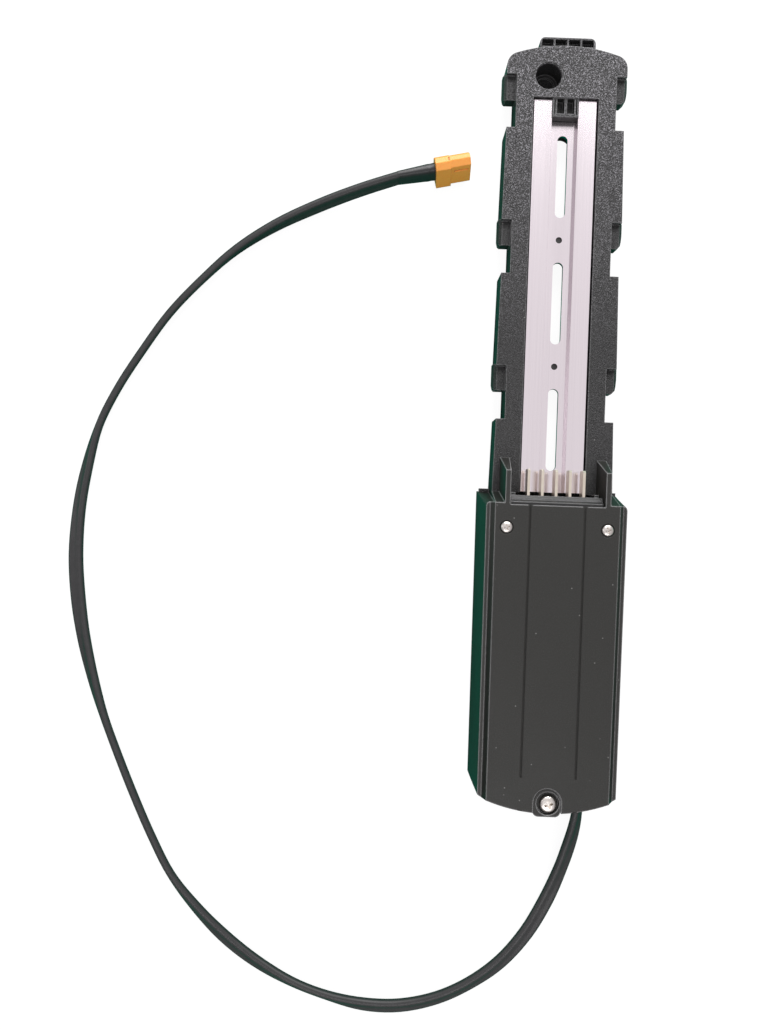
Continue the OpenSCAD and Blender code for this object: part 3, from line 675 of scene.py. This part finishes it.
# %% Hand out the finishes
BLADE_COUNT = 5
FINISHES = {
    "cradle": plate_plastic,
    "rail": rail_metal,
    "rail_screws": black_screw,
    "controller_cover": box_plastic,
    "cover_screws": screw_metal,
    "end_screw": screw_metal,
    "terminal_block": block_plastic,
    "terminal_block_screws": screw_metal,
    "lead_positive": red_sheath,
    "lead_negative": lead_sheath,
    "cable_grommet": lead_sheath,
    "cable_tie": black_nylon,
    "plug_sockets": socket_metal,
}
FINISHES.update({f"contact_blade_{i}": blade_metal for i in range(1, BLADE_COUNT + 1)})
for name, material in FINISHES.items():
    for slot in nodes[name].material_slots:
        slot.material = material
print(len(FINISHES), "packed parts have their finish")


# %% [markdown]
# ## The twin lead
# A flat lead holds two cores side by side, so its outline is a soft figure of eight. The outline starts
# as a circle that is pressed into shape, and is then extruded from frame to frame along the route. A
# curve with a bevel object could do it too, but this way the roll at each point is exactly the one in the
# list.

# %% Helpers: sweep an outline along frames
def start_outline(bm, sides, shape):
    """A ring of edges round the origin, with each point moved by shape(x, y) of a unit circle."""
    ring = bmesh.ops.create_circle(bm, segments=sides, radius=1.0)["verts"]
    for v in ring:
        v.co.xy = shape(v.co.x, v.co.y)
    return list({e for v in ring for e in v.link_edges})


def sweep(bm, edges, spots, scales=None):
    """Extrudes the outline through the frames and closes both ends."""
    verts = list({v for e in edges for v in e.verts})
    bmesh.ops.transform(bm, matrix=spots[0], verts=verts)
    first = list(edges)
    for i in range(1, len(spots)):
        new = bmesh.ops.extrude_edge_only(bm, edges=edges)["geom"]
        verts = [g for g in new if isinstance(g, bmesh.types.BMVert)]
        drawn = [g for g in new if isinstance(g, bmesh.types.BMEdge)]
        edges = [e for e in drawn if all(v in verts for v in e.verts)]
        grow = Matrix.Identity(4)
        if scales:
            wider, thicker = (now / before for now, before in zip(scales[i], scales[i - 1]))
            grow = Matrix.Diagonal((wider, thicker, 1, 1))
        bmesh.ops.transform(bm, matrix=spots[i] @ grow @ spots[i - 1].inverted(), verts=verts)
    for ring in (first, edges):
        bmesh.ops.edgenet_fill(bm, edges=ring)


# %% Twin lead
LEAD_SIDES = 28
WEB_SHARE = 0.86


def twin_outline(x, y):
    """Two round cores joined by a web."""
    core = LEAD_THICKNESS / 2
    reach = LEAD_WIDTH / 2 - core
    wide = x * LEAD_WIDTH / 2
    beside = abs(wide) - reach
    rise = math.sqrt(max(core * core - beside * beside, 0))
    if beside < 0:
        rise = max(rise, WEB_SHARE * core)
    return Vector((wide, math.copysign(rise, y) if abs(y) > TINY else 0.0)) * MM


lead_bm = bmesh.new()
sweep(lead_bm, start_outline(lead_bm, LEAD_SIDES, twin_outline), lead_frames)
lead = finish_piece(lead_bm, "twin_lead", lead_sheath, smooth=50)
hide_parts("power_cable")
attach(lead, "root")
print("twin lead:", len(lead.data.polygons), "faces")

# %% [markdown]
# ## The shrunk sleeve
# Where the lead meets the plug, a sleeve of shrink tube covers the solder joints. It grips the lead at
# its far end and swells over the joints, with a few soft wrinkles next to the plug. It is swept like the
# lead, and its outline grows from frame to frame.

# %% Sleeve
PLUG_BACK = Vector((-67.9, 133, 9.2))
SLEEVE_LENGTH = 20
SLEEVE_STEPS = 30
SLEEVE_SIDES = 36
SLEEVE_ROLL = 105
SLEEVE_START = (8.7, 4.5)
SLEEVE_GROWTH = (1.3, 1.8)
SWOLLEN_FROM = 0.8
WRINKLED_FROM = 0.6
WRINKLE_DEPTH = 0.16
WRINKLE_RATE = 34
SQUARENESS = (0.75, 0.7)


def sleeve_size(t):
    """Width and thickness in mm at the share t of the sleeve's length."""
    swell = min(1.0, t / SWOLLEN_FROM)
    wrinkle = WRINKLE_DEPTH * math.sin(t * WRINKLE_RATE) * max(0, t - WRINKLED_FROM) / (1 - WRINKLED_FROM)
    return [start + growth * swell + wrinkle for start, growth in zip(SLEEVE_START, SLEEVE_GROWTH)]


def sleeve_outline(x, y):
    """A circle pressed towards a box, as wide and thick as the sleeve's far end."""
    sides = [math.copysign(abs(v) ** power, v) / 2 for v, power in zip((x, y), SQUARENESS)]
    return Vector([side * size for side, size in zip(sides, sleeve_size(0))]) * MM


plug_axis = Vector(PLUG_AHEAD)
sleeve_spots = []
sleeve_sizes = []
for i in range(SLEEVE_STEPS + 1):
    t = i / SLEEVE_STEPS
    middle = PLUG_BACK - plug_axis * SLEEVE_LENGTH * (1 - t)
    sleeve_spots.append(place_on_route((*middle, SLEEVE_ROLL), plug_axis))
    sleeve_sizes.append(sleeve_size(t))
sleeve_bm = bmesh.new()
sweep(sleeve_bm, start_outline(sleeve_bm, SLEEVE_SIDES, sleeve_outline), sleeve_spots, sleeve_sizes)
sleeve = finish_piece(sleeve_bm, "shrunk_sleeve", shrunk_black, smooth=60)
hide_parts("shrink_sleeve")
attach(sleeve, "root")
print("sleeve: from", SLEEVE_START, "to", [round(v, 2) for v in sleeve_sizes[-1]], "mm")

# %% [markdown]
# ## The plug
# The plug is a nylon bar with two bevelled edges along one side, which stop it going in the wrong way
# round. A full grip at the back steps down to a slimmer front with a shallow groove, and two sockets lie
# inside. It is built upright in its own millimetres and then laid down behind the sleeve, as one matrix
# says.

# %% Where the plug lies
GRIP_LENGTH = 8.2
PLUG_LENGTH = 18.8
PLUG_SIZE = (16.6, 8.8)
PLUG_ROLL = math.radians(75)
QUARTER = math.pi / 2
at_plug = (
    Matrix.Translation(PLUG_BACK * MM)
    @ Matrix.Rotation(PLUG_TURN, 4, "Z")
    @ Matrix.Rotation(QUARTER, 4, "Z")
    @ Matrix.Rotation(QUARTER, 4, "X")
    @ Matrix.Rotation(PLUG_ROLL, 4, "Z")
)


def solid_from(build, name):
    """Runs build on a new bmesh in plug millimetres and puts the result in place."""
    bm = bmesh.new()
    build(bm)
    bmesh.ops.transform(bm, matrix=at_plug @ Matrix.Scale(MM, 4), verts=bm.verts)
    return finish_piece(bm, name)


# %% Grip and nose
GRIP_BEVEL = 2.8
NOSE_BEVEL = 2.6
NOSE_SIZE = (PLUG_SIZE[0] - 1.2, PLUG_SIZE[1] - 1.0)
NOSE_SHIFT = 0.6
NOSE_IN_GRIP = 1.5
SHARP = 0.5


def bevelled_bar(bm, size, shift, bevel, z0, z1):
    """A bar along Z with its two edges on the +X side bevelled."""
    low = (shift - size[0] / 2, -size[1] / 2, z0)
    high = (shift + size[0] / 2, size[1] / 2, z1)
    bar = box_between(bm, low, high)
    side = [e for e in {e for v in bar for e in v.link_edges}
            if all(v.co.x > shift for v in e.verts) and abs(e.verts[0].co.z - e.verts[1].co.z) > TINY]
    bevel_edges(bm, side, bevel, segments=1)


def round_edges(bm, offset):
    """Rounds every edge where two faces meet at more than SHARP, in radians."""
    sharp = [e for e in bm.edges if len(e.link_faces) == 2 and e.calc_face_angle(0) > SHARP]
    bevel_edges(bm, sharp, offset, segments=2)


def build_grip(bm):
    bevelled_bar(bm, PLUG_SIZE, 0, GRIP_BEVEL, 0, GRIP_LENGTH)
    round_edges(bm, 0.3)


def build_nose(bm):
    bevelled_bar(bm, NOSE_SIZE, NOSE_SHIFT, NOSE_BEVEL, GRIP_LENGTH - NOSE_IN_GRIP, PLUG_LENGTH)
    round_edges(bm, 0.25)


grip = solid_from(build_grip, "plug_grip")
nose = solid_from(build_nose, "plug_nose")
print("grip and nose before the cuts:", len(grip.data.polygons), "and", len(nose.data.polygons), "faces")

# %% [markdown]
# Two round sockets run in from the front, and stop short of the back. A short groove lies in one broad
# side of the nose.

# %% Sockets and groove
SOCKET_XS = (-3.8, 4.2)
SOCKET_RADIUS = 2.85
SOCKET_FLOOR = 3
ROD_SIDES = 32
GROOVE_LOW = (2.0, NOSE_SIZE[1] / 2 - 0.7, GRIP_LENGTH + 1.6)
GROOVE_HIGH = (3.1, NOSE_SIZE[1] / 2 + 1, PLUG_LENGTH - 1.4)


def socket_cutter(x, end):
    """A rod that bores one socket, from its floor up to end along the plug."""
    def build(bm):
        rod = bmesh.ops.create_cone(bm, cap_ends=True, segments=ROD_SIDES, radius1=SOCKET_RADIUS,
                                    radius2=SOCKET_RADIUS, depth=end - SOCKET_FLOOR)
        bmesh.ops.translate(bm, vec=(x, 0, (SOCKET_FLOOR + end) / 2), verts=rod["verts"])

    return solid_from(build, "cutter")


def build_groove(bm):
    box_between(bm, GROOVE_LOW, GROOVE_HIGH)


nose_cutters = [socket_cutter(x, PLUG_LENGTH + 1) for x in SOCKET_XS]
nose_cutters.append(solid_from(build_groove, "cutter"))
nose = cut_away(nose, nose_cutters)
grip = cut_away(grip, [socket_cutter(x, GRIP_LENGTH + 1) for x in SOCKET_XS])
for part in (grip, nose):
    dress(part, plug_orange)
    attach(part, "root")
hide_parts("plug_housing")
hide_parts("plug_housing")
print("plug body:", len(grip.data.polygons) + len(nose.data.polygons), "faces")

# %% [markdown]
# ## The loose lead
# The lead is loose: it can be laid another way.


# %% [markdown]
# ## Screw heads
# The pan heads of the imported model are plain cones. A turned head has a domed crown with a soft rim, and
# a cross recess that tapers as it goes in. The profile is spun round the axis, and a tapered cross is cut
# away.

# %% The profile of a screw, and the cross that is cut into it
RIM_SHARE = 0.35
DOME_STEPS = 8
DOME_FULLNESS = 0.6
ARM_SHARE = 0.24
ARM_HEIGHT = 0.9
ARM_MIDDLE = 0.75
ARM_TAPER = (0.45, 0.7, 1)
CROSS_TURN = 0.3


def head_profile(radius, height, shank, depth):
    """Half of a screw's outline, in mm: up the shank, out under the head, up the rim and over the dome."""
    rim = height * RIM_SHARE
    profile = [(0, -depth), (shank, -depth), (shank, -0.05)]
    profile += [(radius * 0.97, 0), (radius, rim * 0.5), (radius, rim)]
    for k in range(1, DOME_STEPS):
        turn = QUARTER * k / DOME_STEPS
        profile.append((radius * math.cos(turn) ** DOME_FULLNESS, rim + (height - rim) * math.sin(turn)))
    return profile + [(0, height)]


def cross_arms(place, height, span):
    """The two bars of a cross recess, which narrow towards their bottom."""
    middle = Vector(place) + Vector((0, 0, height * ARM_MIDDLE))
    arms = []
    for turn in (0, QUARTER):
        bm = bmesh.new()
        bar = bmesh.ops.create_cube(bm, size=1.0)["verts"]
        bmesh.ops.scale(bm, vec=(span * MM, span * ARM_SHARE * MM, height * ARM_HEIGHT * MM), verts=bar)
        bmesh.ops.scale(bm, vec=ARM_TAPER, verts=[v for v in bar if v.co.z < 0])
        bmesh.ops.rotate(bm, cent=(0, 0, 0), matrix=Matrix.Rotation(turn + CROSS_TURN, 3, "Z"), verts=bar)
        bmesh.ops.translate(bm, vec=middle * MM, verts=bar)
        arms.append(finish_piece(bm, "cutter"))
    return arms


# %% Domed screws
COVER_SCREW = {"radius": 3.0, "height": 1.9, "shank": 1.2, "depth": 15, "span": 3.4}
TAIL_SCREW = {"radius": 4.5, "height": 2.6, "shank": 1.6, "depth": 10, "span": 5.2}
COVER_SEAT_Z = 31.2
TAIL_SEAT = (1.2, -198, 27.5)
SPIN_STEPS = 48


def domed_screw(name, place, radius, height, shank, depth, span):
    """A spun screw with a cross recess. place is the middle of the seat under its head, in mm."""
    bm = bmesh.new()
    verts = [bm.verts.new((x * MM, 0, z * MM)) for x, z in head_profile(radius, height, shank, depth)]
    edges = [bm.edges.new(pair) for pair in zip(verts, verts[1:])]
    bmesh.ops.spin(bm, geom=verts + edges, cent=(0, 0, 0), axis=(0, 0, 1), angle=math.tau, steps=SPIN_STEPS,
                   use_merge=True)
    bmesh.ops.translate(bm, vec=Vector(place) * MM, verts=bm.verts)
    screw = cut_away(finish_piece(bm, name, weld=TINY), cross_arms(place, height, span))
    dress(screw, screw_metal)
    shade_round(screw, 35)
    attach(screw, "root")
    print(name, "has", len(screw.data.polygons), "faces")
    return screw


left_screw = domed_screw("cover_screw_left", (-SCREW_X, SCREW_Y, COVER_SEAT_Z), **COVER_SCREW)
right_screw = domed_screw("cover_screw_right", (SCREW_X, SCREW_Y, COVER_SEAT_Z), **COVER_SCREW)
tail_screw = domed_screw("tail_screw", TAIL_SEAT, **TAIL_SCREW)
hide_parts("cover_screws")
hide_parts("cover_screws")
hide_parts("end_screw")

# %% [markdown]
# ## The cover of the wiring box
# The cover is one deep moulding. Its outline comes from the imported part: the copy is merged first,
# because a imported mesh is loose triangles. A real mould can't make a knife edge, so the two front corners
# are rounded, and the roof runs forward over the terminal block in one piece. Its faces stay flat-shaded,
# because they are long and flat, and the material rounds their edges.

# %% Which edges are the front corners
ROOF_Z = 32
WALL_LEAN = 2.0 / 29.5
CORNER_SIDE = 37.8
CORNER_Y = (-46, -36)
CORNER_HEIGHT = 10
CORNER_RADIUS = 2.4


def is_front_corner(edge):
    """True for the two long outer edges where the side walls meet the front."""
    low, high = (v.co / MM for v in edge.verts)
    outer = all(abs(c.x) + c.z * WALL_LEAN > CORNER_SIDE for c in (low, high))
    in_front = all(CORNER_Y[0] < c.y < CORNER_Y[1] for c in (low, high))
    return outer and in_front and abs(low.z - high.z) > CORNER_HEIGHT


cover_bm = bmesh.new()
cover_bm.from_mesh(nodes["controller_cover"].data)
bmesh.ops.remove_doubles(cover_bm, verts=cover_bm.verts, dist=TINY)
bmesh.ops.dissolve_limit(cover_bm, angle_limit=math.radians(0.5), verts=cover_bm.verts,
                         edges=cover_bm.edges)
corners = [e for e in cover_bm.edges if is_front_corner(e)]
corner_count = len(corners)
bevel_edges(cover_bm, corners, CORNER_RADIUS * MM, segments=5)
cover = finish_piece(cover_bm, "box_cover", weld=TINY)
print("cover:", corner_count, "corners rounded,", len(cover.data.polygons), "faces")

# %% Roof over the terminal block, and the two grooves
SILL_Y = -44.8
SKIN = 2.4
NOTCH_HALF = 24.3
ROOF_REACH = 4.1
GROOVE_HALF = 0.4
GROOVE_DEPTH = 0.5


def slab(low, high):
    """A plain box to add or cut, between two corners in mm."""
    bm = bmesh.new()
    box_between(bm, [v * MM for v in low], [v * MM for v in high])
    return finish_piece(bm, "cutter")


roof = slab((-NOTCH_HALF, SILL_Y - ROOF_REACH, ROOF_Z - SKIN), (NOTCH_HALF, SILL_Y, ROOF_Z))
tools = [(roof, "UNION")]
for x in (-GROOVE_X, GROOVE_X):
    start = (x - GROOVE_HALF, SILL_Y - ROOF_REACH - 0.1, ROOF_Z - GROOVE_DEPTH)
    tools.append((slab(start, (x + GROOVE_HALF, 0, ROOF_Z + 1)), "DIFFERENCE"))
cover = combine(cover, tools)
dress(cover, box_plastic)
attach(cover, "root")
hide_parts("controller_cover")
print("cover with its roof:", len(cover.data.polygons), "faces")

# %% [markdown]
# ## The table
# The table stays white for the eye, and keeps a trace of the shadow. What it throws back on to the sides
# of the parts is a dull green, from the cloth that it is covered with. The Light Path node tells the two
# apart: a ray from the camera meets the white, and every other ray meets the cloth.

# %% Floor
FLOOR_HALF = 4.0
FLOOR_Z = -0.2 * MM
CLOTH_GREEN = (0.0, 0.28, 0.17, 1)
SHADOW_GREY = (0.12, 0.12, 0.12, 1)
WHITE = (1, 1, 1, 1)
GLOW = 0.93
floor_bm = bmesh.new()
bmesh.ops.create_grid(floor_bm, x_segments=1, y_segments=1, size=FLOOR_HALF)
bmesh.ops.translate(floor_bm, vec=(0, 0, FLOOR_Z), verts=floor_bm.verts)
floor_material, floor_tree, floor_shader = new_material("table_cloth")
floor_tree.nodes.remove(floor_shader)
eye = add(floor_tree, "ShaderNodeLightPath").outputs["Is Camera Ray"]
cloth = add(floor_tree, "ShaderNodeBsdfDiffuse", {"Color": CLOTH_GREEN})
shaded = add(floor_tree, "ShaderNodeBsdfDiffuse", {"Color": SHADOW_GREY})
glowing = add(floor_tree, "ShaderNodeEmission", {"Color": WHITE, "Strength": GLOW})
seen = add(floor_tree, "ShaderNodeAddShader", {0: shaded.outputs[0], 1: glowing.outputs[0]})
either = add(floor_tree, "ShaderNodeMixShader", {0: eye, 1: cloth.outputs[0], 2: seen.outputs[0]})
feed(floor_tree, floor_tree.nodes["Material Output"], {"Surface": either.outputs[0]})
floor = finish_piece(floor_bm, "table", floor_material)
floor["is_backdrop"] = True
print("the table is", 2 * FLOOR_HALF, "m wide")

# %% [markdown]
# ## Light
# A pale, even sky fills the shadows. It is pure white where the camera looks past the table, for a clean
# background. Wide soft lamps hang over the lock end and over the tail, so the grain of the plate glitters
# towards the lock and the box stays quiet. A wide lamp is like the window of a workshop: it gives soft
# shadows and a broad streak along the rail.

# %% Sky
SKY_TINT = (1.0, 0.96, 0.985, 1)
SKY_STRENGTH = 0.5
world = bpy.data.worlds.new("studio")
bpy.context.scene.world = world
world.use_nodes = True
sky_tree = world.node_tree
sky = feed(sky_tree, sky_tree.nodes["Background"], {"Color": SKY_TINT, "Strength": SKY_STRENGTH})
backdrop = add(sky_tree, "ShaderNodeBackground", {"Color": WHITE, "Strength": 1.0})
sky_eye = add(sky_tree, "ShaderNodeLightPath").outputs["Is Camera Ray"]
sky_mix = add(sky_tree, "ShaderNodeMixShader", {0: sky_eye, 1: sky.outputs[0], 2: backdrop.outputs[0]})
feed(sky_tree, sky_tree.nodes["World Output"], {"Surface": sky_mix.outputs[0]})
print("sky strength:", SKY_STRENGTH)

# %% Lamps: name, place, aim, size and brightness, in metres
LAMPS = [
    ("lamp_overhead", (0, 0.1, 1.3), (0, 0, 0), (1.4, 1.6), 0.3),
    ("lamp_lock_end", (0.15, 1.15, 0.85), (0, 0.1, 0), (1.2, 0.7), 8.5),
    ("lamp_tail", (0, -0.9, 1.0), (0, -0.1, 0), (0.8, 0.5), 3.0),
    ("lamp_left", (-1.1, 0.1, 0.6), (0, 0, 0), (0.4, 0.9), 1.2),
]


def softbox(name, spot, aim, size, radiance):
    """A flat lamp whose surface has the given brightness."""
    data = bpy.data.lights.new(name, "AREA")
    data.shape = "RECTANGLE"
    data.size, data.size_y = size
    data.energy = radiance * math.pi * size[0] * size[1]
    lamp = bpy.data.objects.new(name, data)
    lamp.location = spot
    lamp.rotation_euler = (Vector(aim) - Vector(spot)).to_track_quat("-Z", "Y").to_euler()
    bpy.context.scene.collection.objects.link(lamp)
    print(name, "gives", round(data.energy, 2), "W")


for lamp_values in LAMPS:
    softbox(*lamp_values)

# %% [markdown]
# ## Sizes
# Dressing a part must not change its size. The box round the finished look is measured, and how far each of
# its sides grew beyond the box round the imported model is printed.

# %% Sizes
new_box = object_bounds()
grown = [[round((n - c) / MM, 2) for n, c in zip(new, cad)] for new, cad in zip(new_box, cad_box)]
print("grew by, in mm:", grown)
